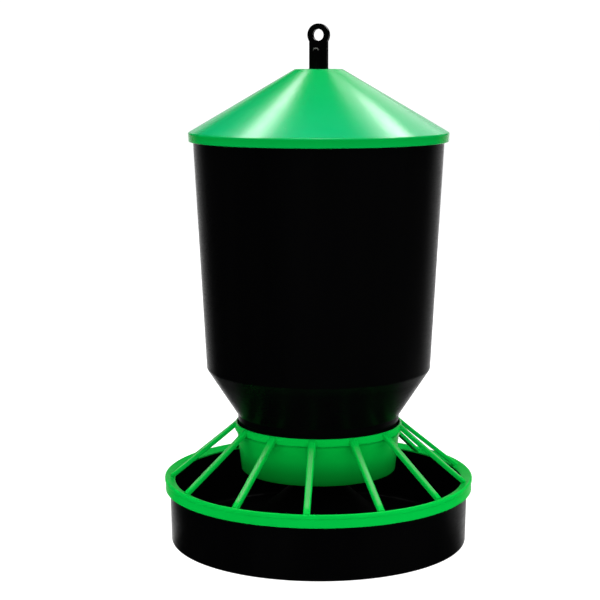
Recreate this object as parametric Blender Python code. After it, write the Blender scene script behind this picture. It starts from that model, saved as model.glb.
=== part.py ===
# Hanging hopper feeder for poultry: pan, feed cone, grill (ring, collar and
# spokes), hopper with its neck spider, lid and a two-length hanger with pins.
# Metres, +Z up. The origin is the centre of the pan's underside; the flat of the
# hanger faces -Y.

import math

import bmesh
import bpy
from mathutils import Matrix, Vector

# ---------------------------------------------------------------- dimensions
SEG = 60                      # facets round the large turned parts
SEG_SMALL = 32                # facets round small bosses and holes
GAP = 0.0003                  # clearance between pieces that touch

# pan
PAN_R_FOOT = 0.1919           # outer radius just above the foot
PAN_R_RIM = 0.1935            # outer radius at the rim
PAN_H = 0.0790
PAN_WALL = 0.0030
PAN_FLOOR = 0.0065            # upper face of the floor
PAN_RECESS = 0.0035           # underside inside the foot ring
HUB_R = 0.0335
HUB_TOP = 0.0300
HUB_PLATE = 0.0030
HUB_BORE = 0.0126
LUG_COUNT = 6                 # twist-lock lugs under the rim
LUG_ARC = 12.0                # degrees
LUG_Z0, LUG_Z1 = 0.0724, 0.0754

# feed cone
CONE_R = 0.1070
CONE_TOP_R = 0.0225
CONE_TOP = 0.0800
CONE_WALL = 0.0025

# grill: one moulding on the real feeder, laid out as a ring, a collar and spokes
RING_R = 0.2000
RING_R_IN = 0.1866
RING_CREST_R, RING_CREST_Z = 0.1981, 0.0850
RING_EDGE_R, RING_EDGE_Z = 0.1873, 0.0806    # where the sloping top meets the inner edge
RING_BOTTOM = 0.0683
BAND_R_IN = 0.1057
BAND_R_TOP, BAND_R = 0.1075, 0.1086
BAND_TOP, BAND_BOTTOM = 0.1544, 0.1450
COLLAR_BOTTOM = 0.0928
SPOKES = 13
SPOKE_PHASE = -74.92          # degrees from +X to the first spoke
SPOKE_W0, SPOKE_W1 = 0.0096, 0.0088
SPOKE_T = 0.0055
SPOKE_R0, SPOKE_Z0 = 0.1100, 0.1517   # crest line of a spoke
SPOKE_SLOPE = 0.816
GRILL_TURN = 15.0             # degrees to free the twist lock

# hopper
HOP_TOP = 0.5235
HOP_WALL = 0.0030
HOP_R_TOP, HOP_Z_TAPER = 0.1587, 0.5080
HOP_R_SHOULDER, HOP_Z_SHOULDER = 0.1441, 0.2263
HOP_R_NECK, HOP_Z_NECK = 0.1045, 0.1655      # foot of the cone, where a short sleeve starts
HOP_Z_LIP = 0.1587                           # lower edge of that sleeve
NECK_R, NECK_R_IN = 0.1028, 0.0998
NECK_R_END, NECK_Z_END = 0.0960, 0.0945
SPIDER_Z0, SPIDER_Z1 = 0.1345, 0.1535
SPIDER_R = 0.0187

# hanger: a cross section of a web along X and a rib along Y
WEB_W, WEB_T = 0.0236, 0.0060
RIB_W, RIB_D = 0.0075, 0.0232
EYE_Z, EYE_R, EYE_HOLE_R = 0.6496, 0.0142, 0.0073
RIB_TOP = 0.6338
SPLICE_Z0, SPLICE_Z1 = 0.2950, 0.3450
FOOT_Z0, FOOT_Z1 = 0.0185, 0.0267
FOOT_REACH = 0.0195
FLANGE_R, FLANGE_H = 0.0205, 0.0040
PIN_WIRE = 0.0040
PIN_PITCH = 0.0155            # between the two legs
PIN_Z = 0.1322
PIN_STEP, PIN_HOLES = 0.0100, 4
SPLICE_PIN_Z = 0.3200

# lid
LID_R = 0.1655
LID_BOTTOM = 0.5167
LID_EDGE_Z = 0.5279           # where the cone's line meets the rim's
LID_TOP = 0.6072
LID_FLAT_R = 0.0301
LID_WALL = 0.0024

# ------------------------------------------------------------------- helpers
for old in list(bpy.data.objects):
    bpy.data.objects.remove(old, do_unlink=True)


def material(name, colour, rough, metallic=0.0):
    mat = bpy.data.materials.new(name)
    mat.use_nodes = True
    bsdf = mat.node_tree.nodes["Principled BSDF"]
    bsdf.inputs["Base Color"].default_value = (*colour, 1.0)
    bsdf.inputs["Roughness"].default_value = rough
    bsdf.inputs["Metallic"].default_value = metallic
    return mat


def add_object(name, bm, mat=None, loc=(0.0, 0.0, 0.0)):
    bmesh.ops.recalc_face_normals(bm, faces=bm.faces)
    mesh = bpy.data.meshes.new(name)
    bm.to_mesh(mesh)
    bm.free()
    obj = bpy.data.objects.new(name, mesh)
    obj.location = loc
    bpy.context.scene.collection.objects.link(obj)
    if mat:
        mesh.materials.append(mat)
    return obj


def fillet(points, radii, steps=4):
    """Round the corners of an open or closed polyline; radii maps index to radius."""
    out = []
    count = len(points)
    for i, p in enumerate(points):
        radius = radii.get(i, 0.0)
        if not radius:
            out.append(p)
            continue
        here = Vector(p)
        a = (Vector(points[i - 1]) - here).normalized()
        b = (Vector(points[(i + 1) % count]) - here).normalized()
        half = a.angle(b) / 2.0
        reach = radius / math.tan(half)
        centre = here + (a + b).normalized() * (radius / math.sin(half))
        start, end = here + a * reach, here + b * reach
        a0 = math.atan2(start.y - centre.y, start.x - centre.x)
        a1 = math.atan2(end.y - centre.y, end.x - centre.x)
        turn = (a1 - a0 + math.pi) % (2 * math.pi) - math.pi
        for k in range(steps + 1):
            t = a0 + turn * k / steps
            out.append((centre.x + radius * math.cos(t), centre.y + radius * math.sin(t)))
    return out


def offset_path(points, dist):
    """Shift an open polyline to its right by dist, keeping its corners."""
    pts = [Vector(p) for p in points]
    lines = []
    for a, b in zip(pts, pts[1:]):
        d = (b - a).normalized()
        n = Vector((d.y, -d.x)) * dist
        lines.append((a + n, d))
    out = [lines[0][0]]
    for (p, d), (q, e) in zip(lines, lines[1:]):
        cross = d.x * e.y - d.y * e.x
        if abs(cross) < 1e-6:
            out.append(q)
        else:
            w = q - p
            out.append(p + d * ((w.x * e.y - w.y * e.x) / cross))
    last_p, last_d = lines[-1]
    out.append(pts[-1] + Vector((last_d.y, -last_d.x)) * dist)
    return [(p.x, p.y) for p in out]


def lathe(name, profile, mat=None, seg=SEG):
    """Turn a closed (radius, height) outline round the Z axis."""
    bm = bmesh.new()
    verts = [bm.verts.new((r, 0.0, z)) for r, z in profile]
    edges = [bm.edges.new((verts[i], verts[(i + 1) % len(verts)])) for i in range(len(verts))]
    bmesh.ops.spin(bm, geom=verts + edges, cent=(0, 0, 0), axis=(0, 0, 1),
                   angle=2 * math.pi, steps=seg, use_merge=True)
    bmesh.ops.remove_doubles(bm, verts=bm.verts, dist=1e-7)
    return add_object(name, bm, mat)


def prism(name, outline, z0, z1, mat=None):
    """Extrude a flat (x, y) outline from z0 to z1."""
    bm = bmesh.new()
    face = bm.faces.new([bm.verts.new((x, y, z0)) for x, y in outline])
    grown = bmesh.ops.extrude_face_region(bm, geom=[face])
    top = [v for v in grown["geom"] if isinstance(v, bmesh.types.BMVert)]
    bmesh.ops.translate(bm, verts=top, vec=(0, 0, z1 - z0))
    return add_object(name, bm, mat)


def block(name, lo, hi, mat=None):
    return prism(name, [(lo[0], lo[1]), (hi[0], lo[1]), (hi[0], hi[1]), (lo[0], hi[1])],
                 lo[2], hi[2], mat)


def sector(name, r0, r1, deg0, deg1, z0, z1, steps=3):
    arc = [math.radians(deg0 + (deg1 - deg0) * k / steps) for k in range(steps + 1)]
    outline = [(r1 * math.cos(a), r1 * math.sin(a)) for a in arc]
    outline += [(r0 * math.cos(a), r0 * math.sin(a)) for a in reversed(arc)]
    return prism(name, outline, z0, z1)


def circle(radius, seg, phase=0.0):
    return [(radius * math.cos(2 * math.pi * k / seg + phase),
             radius * math.sin(2 * math.pi * k / seg + phase)) for k in range(seg)]


def hull(name, points):
    bm = bmesh.new()
    for p in points:
        bm.verts.new(p)
    res = bmesh.ops.convex_hull(bm, input=bm.verts)
    loose = [g for g in res["geom_interior"] if isinstance(g, bmesh.types.BMVert)]
    if loose:
        bmesh.ops.delete(bm, geom=loose, context="VERTS")
    return add_object(name, bm)


def along_y(obj):
    """Lay a prism built along Z down so that it runs along Y."""
    obj.data.transform(Matrix.Rotation(math.radians(90.0), 4, "X"))
    obj.data.update()
    return obj


def turned(obj, degrees):
    obj.data.transform(Matrix.Rotation(math.radians(degrees), 4, "Z"))
    obj.data.update()
    return obj


def combine(target, tools, operation):
    """Apply a Boolean with each tool in turn and keep only the result."""
    for tool in tools:
        mod = target.modifiers.new("bool", "BOOLEAN")
        mod.object = tool
        mod.operation = operation
        mod.solver = "EXACT"
        graph = bpy.context.evaluated_depsgraph_get()
        fresh = bpy.data.meshes.new_from_object(target.evaluated_get(graph))
        target.modifiers.clear()
        old = target.data
        target.data = fresh
        fresh.name = target.name
        bpy.data.meshes.remove(old)
    for tool in tools:
        bpy.data.objects.remove(tool, do_unlink=True)
    return target


def tidy(obj, angle=32.0):
    """Remove slivers left by the Booleans and shade the round faces smooth."""
    bm = bmesh.new()
    bm.from_mesh(obj.data)
    bmesh.ops.remove_doubles(bm, verts=bm.verts, dist=1e-6)
    bmesh.ops.dissolve_degenerate(bm, edges=bm.edges, dist=1e-6)
    bm.to_mesh(obj.data)
    bm.free()
    obj.data.shade_smooth()
    obj.data.set_sharp_from_angle(angle=math.radians(angle))
    return obj


def cross_cutter(name, web_w, web_t, rib_w, rib_d, z0, z1):
    """Cross-shaped outline, web along X and rib along Y, as one prism."""
    a, b, c, d = web_w / 2, web_t / 2, rib_w / 2, rib_d / 2
    outline = [(a, -b), (a, b), (c, b), (c, d), (-c, d), (-c, b),
               (-a, b), (-a, -b), (-c, -b), (-c, -d), (c, -d), (c, -b)]
    return prism(name, outline, z0, z1)


BLACK = (0.012, 0.012, 0.013)
GREEN = (0.004, 0.46, 0.075)

# ----------------------------------------------------------------------- pan
pan_outer = [
    (PAN_R_FOOT - 0.0135, 0.0), (PAN_R_FOOT, 0.0), (PAN_R_RIM, PAN_H),
    (PAN_R_RIM - PAN_WALL, PAN_H), (PAN_R_FOOT - PAN_WALL, PAN_FLOOR),
    (HUB_R, PAN_FLOOR), (HUB_R, HUB_TOP), (HUB_BORE, HUB_TOP),
    (HUB_BORE, HUB_TOP - HUB_PLATE), (HUB_R - 0.0030, HUB_TOP - HUB_PLATE),
    (HUB_R - 0.0030, PAN_RECESS), (PAN_R_FOOT - 0.0150, PAN_RECESS),
]
pan = lathe("pan", fillet(pan_outer, {1: 0.0022, 4: 0.0080, 5: 0.0015, 6: 0.0012}, 3),
            material("black_pan", BLACK, 0.42))
reach = 0.0036
sweep = math.sqrt(0.0302 ** 2 - reach ** 2)
stops = []
for side in (0, 180):
    outer_a, outer_b = math.atan2(sweep, -reach), math.atan2(reach, -sweep)
    inner = math.sqrt(0.0140 ** 2 - reach ** 2)
    inner_a, inner_b = math.atan2(reach, -inner), math.atan2(inner, -reach)
    outline = [(0.0302 * math.cos(outer_a + (outer_b - outer_a) * k / 6),
                0.0302 * math.sin(outer_a + (outer_b - outer_a) * k / 6)) for k in range(7)]
    outline += [(0.0140 * math.cos(inner_a + (inner_b - inner_a) * k / 4),
                 0.0140 * math.sin(inner_a + (inner_b - inner_a) * k / 4)) for k in range(5)]
    stops.append(turned(prism("stop", outline, 0.0180, HUB_TOP - HUB_PLATE + 0.0005), side))
combine(pan, stops, "UNION")
combine(pan, [block("foot_notch", (-0.0034, -0.0203, HUB_TOP - 0.0050),
                    (0.0034, 0.0203, HUB_TOP + 0.0010))], "DIFFERENCE")
lugs = []
for k in range(LUG_COUNT):
    mid = 360.0 / LUG_COUNT * k
    lugs.append(sector("lug", PAN_R_RIM - 0.0012, 0.1963, mid - LUG_ARC / 2 - 2.4,
                       mid + LUG_ARC / 2, LUG_Z0, LUG_Z1))
    lugs.append(sector("lug_end", PAN_R_RIM - 0.0012, 0.1963, mid - LUG_ARC / 2 - 2.4,
                       mid - LUG_ARC / 2 - 0.4, 0.0690, LUG_Z0 + 0.0004, 1))
combine(pan, lugs, "UNION")
tidy(pan)

# ----------------------------------------------------------------- feed cone
cone_face = [(CONE_TOP_R, CONE_TOP), (CONE_R - 0.0020, PAN_FLOOR + GAP + 0.0025)]
cone_back = offset_path(cone_face, CONE_WALL)
cone_profile = [
    (0.0128, CONE_TOP), cone_face[0], cone_face[1], (CONE_R, PAN_FLOOR + GAP + 0.0020),
    (CONE_R, PAN_FLOOR + GAP), (cone_back[1][0] - 0.0002, PAN_FLOOR + GAP),
    (CONE_TOP_R - 0.0030, CONE_TOP - 0.0030), (0.0158, CONE_TOP - 0.0030),
    (0.0158, HUB_TOP + GAP), (0.0128, HUB_TOP + GAP),
]
cone = lathe("feed_cone", fillet(cone_profile, {1: 0.0020}, 3), material("black_cone", BLACK, 0.45))
combine(cone, [block("foot_way", (-0.0034, -0.0203, HUB_TOP - 0.0010),
                     (0.0034, 0.0203, CONE_TOP + 0.0010))], "DIFFERENCE")
tidy(cone)

# --------------------------------------------------------------------- grill
green = material("green_grill", GREEN, 0.35)
ring_profile = [
    (0.1994, RING_BOTTOM), (0.1992, 0.0785), (RING_R, 0.0815), (RING_R, 0.0833), (0.1995, 0.0844),
    (RING_CREST_R, RING_CREST_Z), (RING_EDGE_R, RING_EDGE_Z), (RING_R_IN, 0.0800),
    (RING_R_IN, 0.0785), (0.1896, 0.0785), (0.1899, PAN_H + 0.0004), (0.1939, PAN_H + 0.0004),
    (0.1944, 0.0812), (0.1968, 0.0806), (0.1967, RING_BOTTOM),
]
ring = lathe("grill_ring", ring_profile, green)
hooks = []
for k in range(LUG_COUNT):
    mid = 360.0 / LUG_COUNT * k
    hooks.append(sector("hook", 0.1941, 0.1975, mid - LUG_ARC / 2, mid + LUG_ARC / 2, 0.0687, 0.0720))
combine(ring, hooks, "UNION")
tidy(ring)

collar_profile = [
    (BAND_R_IN, BAND_TOP), (BAND_R_TOP, BAND_TOP), (BAND_R, BAND_BOTTOM + 0.0008),
    (BAND_R - 0.0002, BAND_BOTTOM), (0.1064, 0.1430), (0.1056, 0.1400), (0.1045, 0.1340),
    (0.1029, 0.1190), (0.1000, COLLAR_BOTTOM), (0.0978, COLLAR_BOTTOM), (0.1005, 0.1200),
    (0.1030, 0.1440), (0.1040, 0.1475), (0.1053, 0.1500),
]
collar = lathe("grill_collar", collar_profile, green)


def crest_at(r):
    return SPOKE_Z0 - (r - SPOKE_R0) * SPOKE_SLOPE


def spoke_angle(k):
    return SPOKE_PHASE + 360.0 / SPOKES * k


tidy(collar)
drop = SPOKE_T * math.sqrt(1 + SPOKE_SLOPE ** 2)

# the spokes run from the band's outside down to the ring's sloping top
BAND_LEAN = (BAND_R - BAND_R_TOP) / (BAND_TOP - BAND_BOTTOM)
RING_LEAN = (RING_CREST_Z - RING_EDGE_Z) / (RING_CREST_R - RING_EDGE_R)


def spoke_end(height, end):
    """Point on an end face of a spoke, height metres below its crest line."""
    z0 = crest_at(0.0) - height
    if end == "band":
        r = (BAND_R + 0.0005 - BAND_LEAN * (z0 - BAND_BOTTOM)) / (1 - BAND_LEAN * SPOKE_SLOPE)
    else:
        r = (z0 - RING_EDGE_Z + RING_LEAN * RING_EDGE_R - 0.0005) / (SPOKE_SLOPE + RING_LEAN)
    return r, z0 - SPOKE_SLOPE * r


for k in range(SPOKES):
    loops = []
    bm = bmesh.new()
    for end, width in (("band", SPOKE_W0), ("ring", SPOKE_W1)):
        h = width / 2
        row = []
        for y, deep in ((-h, drop), (h, drop), (h, 0.0031), (h * 0.86, 0.0015), (h * 0.55, 0.0004), (0.0, 0.0),
                        (-h * 0.55, 0.0004), (-h * 0.86, 0.0015), (-h, 0.0031)):
            r, z = spoke_end(deep, end)
            row.append(bm.verts.new((r, y, z)))
        loops.append(row)
    for i in range(len(loops[0])):
        j = (i + 1) % len(loops[0])
        bm.faces.new((loops[0][i], loops[0][j], loops[1][j], loops[1][i]))
    bm.faces.new(loops[0])
    bm.faces.new(loops[1])
    spoke = add_object("grill_spoke_%02d" % (k + 1), bm, green)
    tidy(turned(spoke, spoke_angle(k)))

# -------------------------------------------------------------------- hopper
black_bin = material("black_hopper", BLACK, 0.38)
rim_r = HOP_R_TOP + (HOP_TOP - HOP_Z_TAPER) * 0.035
wall_outer = [
    (rim_r, HOP_TOP), (HOP_R_TOP, HOP_Z_TAPER), (HOP_R_SHOULDER, HOP_Z_SHOULDER),
    (HOP_R_NECK, HOP_Z_NECK), (HOP_R_NECK - 0.0002, HOP_Z_LIP), (NECK_R, HOP_Z_LIP - 0.0014),
    (NECK_R, 0.1510), (NECK_R_END, NECK_Z_END),
]
cone_in = offset_path([wall_outer[1], wall_outer[2], wall_outer[3]], HOP_WALL)
run = (cone_in[1][0] - cone_in[2][0]) / (cone_in[1][1] - cone_in[2][1])
wall_inner = [
    (NECK_R_END - HOP_WALL, NECK_Z_END), (NECK_R_IN - 0.0006, 0.1510), (NECK_R_IN, 0.1580),
    (NECK_R_IN, cone_in[2][1] - (cone_in[2][0] - NECK_R_IN) / run), cone_in[1],
    (HOP_R_TOP - 0.0031, 0.5130), (rim_r - 0.0044, 0.5150), (rim_r - 0.0044, HOP_TOP),
]
hopper = lathe("hopper", fillet(wall_outer, {2: 0.0060, 4: 0.0006}, 3) + wall_inner, black_bin)
tidy(hopper)

# --------------------------------------------------------------- neck spider
spider = prism("neck_spider", circle(SPIDER_R, SEG_SMALL), SPIDER_Z0, SPIDER_Z1, black_bin)


def neck_inside(z):
    """Inner radius of the neck at height z, less the clearance."""
    low, high = NECK_R_END - HOP_WALL, NECK_R_IN - 0.0006
    t = (z - NECK_Z_END) / (0.1510 - NECK_Z_END)
    return low + (high - low) * t - 0.0006


arms = []
for k in range(4):
    half = 0.0016
    bm = bmesh.new()
    section = ((-half, SPIDER_Z0 + 0.0025), (half, SPIDER_Z0 + 0.0025),
               (half, SPIDER_Z1 - 0.0020), (0.0, SPIDER_Z1), (-half, SPIDER_Z1 - 0.0020))
    ends = [[bm.verts.new((0.0150, y, z)) for y, z in section],
            [bm.verts.new((neck_inside(z), y, z)) for y, z in section]]
    for i in range(5):
        j = (i + 1) % 5
        bm.faces.new((ends[0][i], ends[0][j], ends[1][j], ends[1][i]))
    bm.faces.new(ends[0])
    bm.faces.new(ends[1])
    arms.append(turned(add_object("arm", bm), 45.0 + 90.0 * k))
combine(spider, arms, "UNION")
combine(spider, [cross_cutter("key_slot", 0.0296, 0.0070, 0.0085, 0.0244,
                              SPIDER_Z0 - 0.003, SPIDER_Z1 + 0.003)], "DIFFERENCE")
tidy(spider)

# ---------------------------------------------------------------- lower stem
black_stem = material("black_hanger", BLACK, 0.36)
lower = cross_cutter("lower_stem", WEB_W, WEB_T, RIB_W, RIB_D, FOOT_Z0 + 0.0020, SPLICE_Z0)
lower.data.materials.append(black_stem)
foot_outline = [(FOOT_REACH, -WEB_T / 2), (FOOT_REACH, WEB_T / 2), (-FOOT_REACH, WEB_T / 2),
                (-FOOT_REACH, -WEB_T / 2)]
parts = [
    prism("foot", foot_outline, FOOT_Z0, FOOT_Z1),
    prism("flange", circle(FLANGE_R, SEG_SMALL), CONE_TOP + GAP, CONE_TOP + GAP + FLANGE_H),
    block("half_web", (-WEB_W / 2, GAP / 2, SPLICE_Z0 - 0.002), (WEB_W / 2, WEB_T / 2, SPLICE_Z1 - GAP)),
    block("half_rib", (-RIB_W / 2, GAP / 2, SPLICE_Z0 - 0.002), (RIB_W / 2, RIB_D / 2, SPLICE_Z1 - GAP)),
]
combine(lower, parts, "UNION")


def leg_holes(z):
    out = []
    for side in (-1, 1):
        tool = along_y(prism("leg_hole", circle(PIN_WIRE / 2 + 0.0003, 12, math.radians(15)), -0.03, 0.03))
        tool.data.transform(Matrix.Translation((side * PIN_PITCH / 2, 0, z)))
        out.append(tool)
    return out


tools = leg_holes(SPLICE_PIN_Z)
for k in range(PIN_HOLES):
    tools += leg_holes(PIN_Z + PIN_STEP * k)
combine(lower, tools, "DIFFERENCE")
tidy(lower)

# -------------------------------------------------------------- hanger strap
strap = cross_cutter("hanger_strap", WEB_W, WEB_T, RIB_W, RIB_D, SPLICE_Z1, RIB_TOP - RIB_W / 2)
strap.data.materials.append(black_stem)
cap = along_y(prism("rib_cap", circle(RIB_W / 2, 16), -RIB_D / 2, RIB_D / 2))
cap.data.transform(Matrix.Translation((0, 0, RIB_TOP - RIB_W / 2)))
eye = along_y(prism("eye", circle(EYE_R, 36), -WEB_T / 2, WEB_T / 2))
eye.data.transform(Matrix.Translation((0, 0, EYE_Z)))
parts = [
    block("web_top", (-WEB_W / 2, -WEB_T / 2, RIB_TOP - 0.010), (WEB_W / 2, WEB_T / 2, EYE_Z - 0.0075)),
    cap, eye,
    block("half_web", (-WEB_W / 2, -WEB_T / 2, SPLICE_Z0 + GAP), (WEB_W / 2, -GAP / 2, SPLICE_Z1 + 0.002)),
    block("half_rib", (-RIB_W / 2, -RIB_D / 2, SPLICE_Z0 + GAP), (RIB_W / 2, -GAP / 2, SPLICE_Z1 + 0.002)),
]
combine(strap, parts, "UNION")
hole = along_y(prism("eye_hole", circle(EYE_HOLE_R, 28), -0.02, 0.02))
hole.data.transform(Matrix.Translation((0, 0, EYE_Z)))
combine(strap, [hole] + leg_holes(SPLICE_PIN_Z), "DIFFERENCE")
tidy(strap)

# ---------------------------------------------------------------------- pins
steel = material("steel_pin", (0.55, 0.56, 0.58), 0.28, 1.0)


def u_pin(name, z):
    """Wire bent into a U, legs along Y, its bow in front of the hanger."""
    half, back, front = PIN_PITCH / 2, 0.0190, -0.0150
    pts = [(half, back), (half, (back + front) / 2)]
    pts += [(half * math.cos(math.pi * k / 12), front - half * math.sin(math.pi * k / 12))
            for k in range(13)]
    pts += [(-half, (back + front) / 2), (-half, back)]
    curve = bpy.data.curves.new(name, "CURVE")
    curve.dimensions = "3D"
    curve.bevel_depth = PIN_WIRE / 2
    curve.bevel_resolution = 3
    curve.use_fill_caps = True
    spline = curve.splines.new("POLY")
    spline.points.add(len(pts) - 1)
    for point, (x, y) in zip(spline.points, pts):
        point.co = (x, y, 0.0, 1.0)
    obj = bpy.data.objects.new(name, curve)
    obj.location = (0.0, 0.0, z)
    bpy.context.scene.collection.objects.link(obj)
    curve.materials.append(steel)
    return obj


height_pin = u_pin("height_pin", PIN_Z)
splice_pin = u_pin("splice_pin", SPLICE_PIN_Z)

# ----------------------------------------------------------------------- lid
lid_face = [(LID_FLAT_R, LID_TOP), (LID_R, LID_EDGE_Z)]
lid_back = offset_path(lid_face, LID_WALL)
t = (0.1553 - lid_back[0][0]) / (lid_back[1][0] - lid_back[0][0])
lid_outline = [
    (0.0055, LID_TOP), lid_face[0], lid_face[1], (LID_R - 0.0001, LID_BOTTOM + 0.0020),
    (LID_R - 0.0008, LID_BOTTOM), (0.1610, LID_BOTTOM), (0.1610, HOP_TOP + GAP), (0.1553, HOP_TOP + GAP),
    (0.1553, lid_back[0][1] + t * (lid_back[1][1] - lid_back[0][1])),
    (LID_FLAT_R, LID_TOP - LID_WALL - 0.0004), (0.0055, LID_TOP - LID_WALL - 0.0002),
]
lid = lathe("lid", fillet(lid_outline, {1: 0.0030, 2: 0.0026}, 4), material("green_lid", GREEN, 0.33))
combine(lid, [cross_cutter("hanger_slot", 0.0312, 0.0086, 0.0102, 0.0264,
                           LID_TOP - 0.008, LID_TOP + 0.004)], "DIFFERENCE")
tidy(lid)
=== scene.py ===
import math

import bmesh
import bpy
from mathutils import Matrix, Vector


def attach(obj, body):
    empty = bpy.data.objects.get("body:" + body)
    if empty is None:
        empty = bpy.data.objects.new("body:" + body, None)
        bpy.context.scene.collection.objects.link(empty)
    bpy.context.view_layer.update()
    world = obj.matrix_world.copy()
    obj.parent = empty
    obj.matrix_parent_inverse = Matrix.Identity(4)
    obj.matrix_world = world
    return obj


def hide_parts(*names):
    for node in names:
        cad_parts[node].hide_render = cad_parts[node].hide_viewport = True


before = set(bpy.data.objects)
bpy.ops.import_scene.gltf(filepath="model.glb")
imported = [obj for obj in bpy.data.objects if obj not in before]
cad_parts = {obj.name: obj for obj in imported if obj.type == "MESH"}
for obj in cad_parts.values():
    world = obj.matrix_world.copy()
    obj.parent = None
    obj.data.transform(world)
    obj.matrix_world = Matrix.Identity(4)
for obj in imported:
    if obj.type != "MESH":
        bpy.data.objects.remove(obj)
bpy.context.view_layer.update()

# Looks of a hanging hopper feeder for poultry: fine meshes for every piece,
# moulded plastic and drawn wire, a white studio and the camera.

scene = bpy.context.scene

# ---------------------------------------------------------------- dimensions
SEG = 288

PAN_R_FOOT, PAN_R_RIM, PAN_H, PAN_WALL = 0.1919, 0.1935, 0.0790, 0.0030
PAN_FLOOR, PAN_RECESS = 0.0065, 0.0035
HUB_R, HUB_TOP, HUB_PLATE, HUB_BORE = 0.0335, 0.0300, 0.0030, 0.0126
LUG_COUNT, LUG_ARC, LUG_Z0, LUG_Z1 = 6, 12.0, 0.0724, 0.0754

CONE_R, CONE_TOP_R, CONE_TOP, CONE_WALL = 0.1070, 0.0225, 0.0800, 0.0025

RING_R, RING_R_IN = 0.2000, 0.1866
BAND_R_IN, BAND_R_TOP, BAND_R = 0.1057, 0.1075, 0.1086
BAND_TOP, BAND_BOTTOM, COLLAR_BOTTOM = 0.1544, 0.1450, 0.0928
SPOKES, SPOKE_PHASE = 13, -74.92
SPOKE_R0, SPOKE_Z0, SPOKE_SLOPE, SPOKE_T = 0.1100, 0.1517, 0.816, 0.0055

HOP_TOP, HOP_WALL = 0.5235, 0.0030
HOP_R_TOP, HOP_Z_TAPER = 0.1587, 0.5080
HOP_R_SHOULDER, HOP_Z_SHOULDER = 0.1441, 0.2263
HOP_R_NECK, HOP_Z_NECK, HOP_Z_LIP = 0.1045, 0.1655, 0.1587
NECK_R, NECK_R_IN, NECK_R_END, NECK_Z_END = 0.1028, 0.0998, 0.0960, 0.0945
SPIDER_Z0, SPIDER_Z1, SPIDER_R = 0.1345, 0.1535, 0.0187

WEB_W, WEB_T, RIB_W, RIB_D = 0.0236, 0.0060, 0.0075, 0.0232
EYE_Z, EYE_R, EYE_HOLE_R, RIB_TOP = 0.6496, 0.0142, 0.0073, 0.6338
SPLICE_Z0, SPLICE_Z1 = 0.2950, 0.3450
FOOT_Z0, FOOT_Z1, FOOT_REACH = 0.0185, 0.0267, 0.0195
FLANGE_R, FLANGE_H = 0.0205, 0.0040
PIN_WIRE, PIN_PITCH, PIN_Z, PIN_STEP, PIN_HOLES = 0.0040, 0.0155, 0.1322, 0.0100, 4
SPLICE_PIN_Z = 0.3200
GAP = 0.0003

LID_R, LID_BOTTOM, LID_EDGE_Z, LID_TOP, LID_FLAT_R = 0.1655, 0.5167, 0.5279, 0.6072, 0.0301
LID_WALL = 0.0024


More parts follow.
